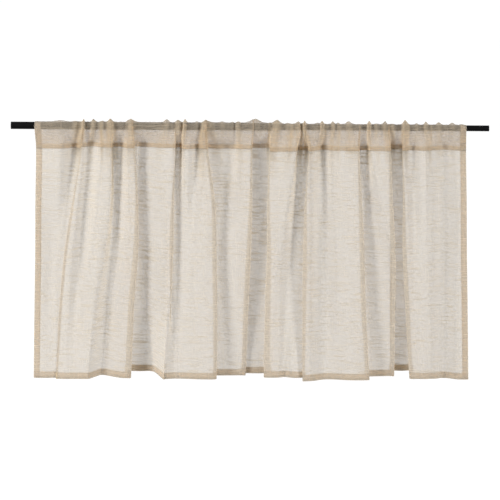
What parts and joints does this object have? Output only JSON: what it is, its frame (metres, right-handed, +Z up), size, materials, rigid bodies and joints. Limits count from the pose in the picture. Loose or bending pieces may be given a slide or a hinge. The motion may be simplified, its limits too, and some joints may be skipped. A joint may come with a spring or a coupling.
{
  "type": "cafe curtain on a telescopic rod",
  "caption": "Sheer slub-weave cafe curtain with hemmed edges, gathered by its rod pocket on a slim black telescopic rod.",
  "frame": {"origin": "on the rod's axis, at the middle of the rod's length, which is the rod_brackets mount", "axes": "+X along the rod to the viewer's right, +Y from the front of the cloth to its back, +Z up"},
  "size_m": [1.138, 0.0508, 0.6331],
  "materials": {
    "sheer_linen": "sheer slub weave, natural",
    "satin_black_steel": "satin black"
  },
  "bodies": {
    "root": {"curtain": "sheer_linen", "rod_outer_tube": "satin_black_steel", "rod_inner_tube": "satin_black_steel"}
  },
  "joints": []
}
